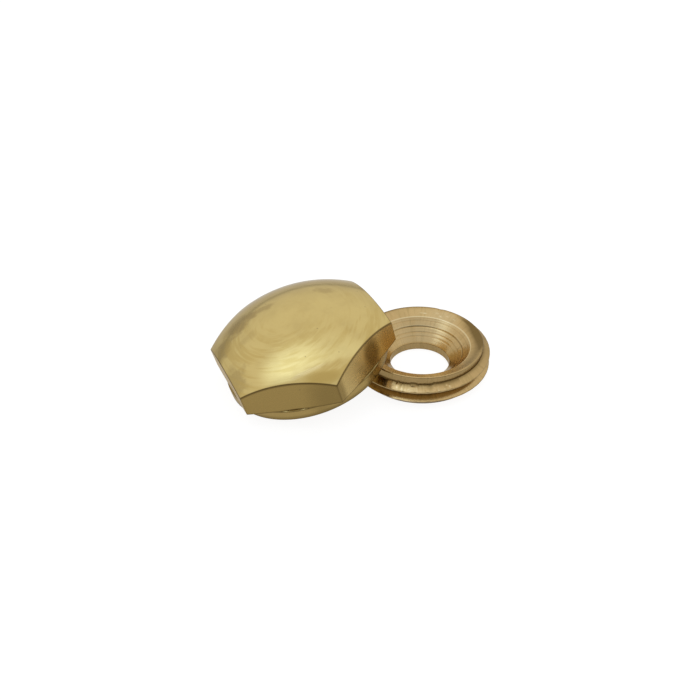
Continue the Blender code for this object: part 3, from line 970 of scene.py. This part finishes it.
def turned_brass(look):
    """Turned brass: rings from the tool, scratches across them, painted shade in the recesses and painted
    highlights.
    """
    material, tree, shader, place, _ = start_material("turned_brass")
    lines = use_group(tree, lathe_lines_group(), Place=place, Lines_per_mm=9.0, Wander=1.5)["Lines"]
    across = use_group(tree, lathe_lines_group(), Place=place, Lines_per_mm=0.5, Wander=26.0)["Lines"]
    clouds = ramp_between(tree, noise(tree, place, 0.6, 4.0), 0.4, 0.7)
    scratches = calculate(tree, "MULTIPLY", ramp_between(tree, across, 0.48, 0.66), 0.42)
    dirt = calculate(tree, "MAXIMUM", calculate(tree, "MULTIPLY", clouds, 0.25), scratches)
    darkening, painted_highlight = shading_masks(tree)
    base = blend_colour(tree, dirt, look.turned, look.tarnish)
    # Painted highlights in the rubbed colour, then painted shade in the edge colour.
    base = lay_over(tree, base, look.painted_highlight, painted_highlight, HIGHLIGHT_SHARE)
    feed(tree, shader.inputs["Base Color"], lay_over(tree, base, look.edge, darkening, DARKENING_SHARE))
    roughness = calculate(tree, "MULTIPLY_ADD", lines, 0.12, look.turned_roughness - 0.06)
    feed(tree, shader.inputs["Roughness"], roughness)
    add_bump(tree, shader, calculate(tree, "ADD", lines, across), TURNING_DEPTH)
    shader.inputs["Specular Tint"].default_value = opaque(look.tint)
    return material


# Stage

FLOOR_SHADE = 0.28      # share of the floor's colour that takes light and shadow
FLOOR_SEEN = 0.89       # brightness added to the floor for the camera
FLOOR_REFLECTED = 0.50  # brightness added to the floor in reflections
WORLD_LIGHT = 0.7       # brightness of the white world as a light

SOFTBOX_SIZE = (0.9, 0.6)
SOFTBOX_PLACE = (0.0, 0.0, 0.30)
CAMERA_NET_SIZE = (1.6, 0.9)
CAMERA_NET_PLACE = (0.0, -0.25, 0.45)
RING_NET_RADIUS = 0.5
RING_NET_HEIGHT = 0.34

# How much light the nets let through: height on the net and level.
CAMERA_NET = ((0.0, 0.5), (0.10, 0.4), (0.20, 0.2), (0.27, 0.25), (0.36, 0.85), (0.6, 0.9), (1.0, 0.92))
RING_NET = ((0.0, 0.50), (0.06, 0.55), (0.18, 0.84), (0.5, 0.92), (1.0, 1.0))


def seen_rays(tree):
    """Masks for rays that reach the camera straight or through glass, and for those seen in reflections."""
    rays = add_node(tree, "ShaderNodeLightPath").outputs
    straight = calculate(tree, "ADD", rays["Is Camera Ray"], rays["Is Transmission Ray"], clamp=True)
    return straight, rays["Is Glossy Ray"]


def bare_material(name):
    """A new node material without any nodes, and its tree."""
    material = bpy.data.materials.new(name)
    material.use_nodes = True
    material.node_tree.nodes.clear()
    return material, material.node_tree


def set_surface(tree, *shaders):
    """Make one shader, or the sum of two, the material's surface."""
    surface = shaders[0]
    if len(shaders) == 2:
        both = add_node(tree, "ShaderNodeAddShader")
        feed(tree, both.inputs[0], shaders[0])
        feed(tree, both.inputs[1], shaders[1])
        surface = both.outputs[0]
    feed(tree, add_node(tree, "ShaderNodeOutputMaterial").inputs["Surface"], surface)


def link_object(name, shell, matrix, material):
    """Make an object from a shell and link it."""
    data = bpy.data.meshes.new(name)
    shell.to_mesh(data)
    shell.free()
    made = bpy.data.objects.new(name, data)
    made.matrix_world = matrix
    bpy.context.scene.collection.objects.link(made)
    data.materials.append(material)
    return made


def make_floor(look):
    """A plain pale floor, which keeps a faint shadow of the object."""
    shell = bmesh.new()
    bmesh.ops.create_grid(shell, x_segments=1, y_segments=1, size=look.floor_size / 2)
    material, tree = bare_material("floor")
    paper = add_node(tree, "ShaderNodeBsdfDiffuse")
    feed(tree, paper.inputs["Color"], opaque([FLOOR_SHADE * part for part in look.floor_colour]))
    straight, reflected = seen_rays(tree)
    level = calculate(tree, "MULTIPLY", straight, FLOOR_SEEN)
    glow = add_node(tree, "ShaderNodeEmission")
    feed(tree, glow.inputs["Strength"], calculate(tree, "MULTIPLY_ADD", reflected, FLOOR_REFLECTED, level))
    set_surface(tree, paper.outputs[0], glow.outputs[0])
    just_below = CAD_BOX[0].z - 0.02 * MM
    floor = link_object("floor", shell, Matrix.Translation((0.0, 0.0, just_below)), material)


def show_in_reflections(name, shell, matrix, material):
    """Put something on the stage that only reflections show."""
    card = link_object(name, shell, matrix, material)
    card.visible_camera = False
    card.visible_diffuse = False
    card.visible_shadow = False


def make_card(name, size, matrix, material):
    """A flat studio card."""
    shell = bmesh.new()
    bmesh.ops.create_grid(shell, x_segments=1, y_segments=1, size=0.5)
    bmesh.ops.scale(shell, vec=(*size, 1.0), verts=shell.verts)
    show_in_reflections(name, shell, matrix, material)


def make_ring_net(radius, height, material):
    """A low net all round the stage."""
    shell = bmesh.new()
    bmesh.ops.create_cone(shell, cap_ends=False, segments=96, radius1=radius, radius2=radius, depth=height)
    bmesh.ops.translate(shell, vec=(0.0, 0.0, height / 2), verts=shell.verts)
    show_in_reflections("ring_net", shell, Matrix.Identity(4), material)


def hill(tree, across, along, middle, reach):
    """1 at the middle of an oval, falling smoothly to 0 at its rim."""
    squares = []
    for value, centre, half in ((across, middle[0], reach[0]), (along, middle[1], reach[1])):
        part = calculate(tree, "DIVIDE", calculate(tree, "SUBTRACT", value, centre), half)
        squares.append(calculate(tree, "MULTIPLY", part, part))
    distance = calculate(tree, "SQRT", calculate(tree, "ADD", squares[0], squares[1]))
    return without(tree, ramp_between(tree, distance, 0.0, 1.0))


def softbox_material():
    """A cool glow with one strong middle and a long weak one, cut off sharply towards the camera."""
    material, tree = bare_material("softbox")
    across, along, _ = separate(tree, add_node(tree, "ShaderNodeTexCoord").outputs["Object"])
    strong = hill(tree, across, along, (-0.180, -0.040), (0.24, 0.15))
    weak = hill(tree, across, along, (0.02, -0.01), (0.36, 0.15))
    both_hills = calculate(tree, "MULTIPLY_ADD", weak, 0.35, calculate(tree, "MULTIPLY", strong, 1.15))
    from_cut = calculate(tree, "MULTIPLY_ADD", across, -0.378, along)
    kept = ramp_between(tree, from_cut, -0.050, -0.040)
    glow = add_node(tree, "ShaderNodeEmission")
    feed(tree, glow.inputs["Color"], (0.50, 0.70, 1.0, 1.0))
    feed(tree, glow.inputs["Strength"], calculate(tree, "MULTIPLY", both_hills, kept))
    clear = add_node(tree, "ShaderNodeBsdfTransparent")
    set_surface(tree, clear.outputs[0], glow.outputs[0])
    return material


def net_material(name, upward, stops):
    """A net that lets part of the light through; upward is the axis that the stops' height is along."""
    material, tree = bare_material(name)
    places = separate(tree, add_node(tree, "ShaderNodeTexCoord").outputs["Generated"])
    ramp = add_node(tree, "ShaderNodeValToRGB")
    feed(tree, ramp.inputs[0], places[upward])
    elements = ramp.color_ramp.elements
    while len(elements) < len(stops):
        elements.new(0.5)
    for element, (position, level) in zip(elements, stops):
        element.position = position
        element.color = (level, level, level, 1.0)
    clear = add_node(tree, "ShaderNodeBsdfTransparent")
    feed(tree, clear.inputs["Color"], ramp.outputs[0])
    set_surface(tree, clear.outputs[0])
    return material


def make_world():
    """White surroundings for what is seen, and a lower level that lights the floor."""
    world = bpy.data.worlds.new("studio")
    world.use_nodes = True
    tree = world.node_tree
    background = tree.nodes["Background"]
    background.inputs["Color"].default_value = (1.0, 1.0, 1.0, 1.0)
    straight, reflected = seen_rays(tree)
    seen = calculate(tree, "ADD", straight, reflected, clamp=True)
    level = calculate(tree, "MULTIPLY_ADD", seen, 1 - WORLD_LIGHT, WORLD_LIGHT)
    feed(tree, background.inputs["Strength"], level)
    bpy.context.scene.world = world


def make_camera(look):
    """The camera, aimed at a point on the floor behind the pair."""
    data = bpy.data.cameras.new("camera")
    data.sensor_width = 36.0
    data.lens = look.lens
    data.clip_start = 1 * MM
    data.clip_end = 10.0
    camera = bpy.data.objects.new("camera", data)
    bpy.context.scene.collection.objects.link(camera)
    middle = (CAD_BOX[0] + CAD_BOX[1]) / 2
    aim = Vector((middle.x + look.aim_right, middle.y + look.aim_back, CAD_BOX[0].z))
    back = Vector((0.0, -math.cos(look.elevation), math.sin(look.elevation)))
    turn = Matrix.Rotation(math.pi / 2 - look.elevation, 4, "X") @ Matrix.Rotation(-look.roll, 4, "Z")
    camera.matrix_world = Matrix.Translation(aim + back * look.distance) @ turn
    bpy.context.scene.camera = camera


class MakeStage(bpy.types.Operator):
    """Set up the floor, the light and the camera"""
    bl_idname = "screwcap.make_stage"
    bl_label = "Stage"
    bl_options = {"REGISTER", "UNDO"}

    def execute(self, context):
        look = context.scene.screwcap_stage
        make_camera(look)
        make_floor(look)
        make_world()
        make_card("softbox", SOFTBOX_SIZE, Matrix.Translation(SOFTBOX_PLACE), softbox_material())
        upright = Matrix.Rotation(math.pi / 2, 4, "X")
        make_card("camera_side_net", CAMERA_NET_SIZE, Matrix.Translation(CAMERA_NET_PLACE) @ upright,
                  net_material("camera_side_net", 1, CAMERA_NET))
        make_ring_net(RING_NET_RADIUS, RING_NET_HEIGHT, net_material("ring_net", 2, RING_NET))
        context.scene.view_settings.view_transform = "Standard"
        return {"FINISHED"}


# Panel and registration


class ScrewCapPanel(bpy.types.Panel):
    """Sizes, looks and buttons for the screw cap."""
    bl_idname = "VIEW3D_PT_screw_cap"
    bl_label = "Hex screw cap"
    bl_space_type = "VIEW_3D"
    bl_region_type = "UI"
    bl_category = "Screw cap"

    def draw(self, context):
        scene = context.scene
        for operator, settings in ((MakeWasher, scene.screwcap_washer), (MakeCap, scene.screwcap_cap),
                                   (None, scene.screwcap_brass), (MakeStage, scene.screwcap_stage)):
            box = self.layout.box()
            for name in settings.__annotations__:
                box.prop(settings, name)
            if operator:
                box.operator(operator.bl_idname)


CLASSES = (WasherSizes, CapSizes, BrassLook, StageLook, MakeWasher, MakeCap, MakeStage, ScrewCapPanel)
SETTINGS = (("screwcap_washer", WasherSizes), ("screwcap_cap", CapSizes), ("screwcap_brass", BrassLook),
            ("screwcap_stage", StageLook))


def register():
    for item in CLASSES:
        bpy.utils.register_class(item)
    for name, group in SETTINGS:
        setattr(bpy.types.Scene, name, PointerProperty(type=group))


def unregister():
    for name, _ in SETTINGS:
        delattr(bpy.types.Scene, name)
    for item in reversed(CLASSES):
        bpy.utils.unregister_class(item)


def main():
    register()
    bpy.ops.screwcap.make_washer()
    bpy.ops.screwcap.make_cap()
    bpy.ops.screwcap.make_stage()


if __name__ == "__main__":
    main()
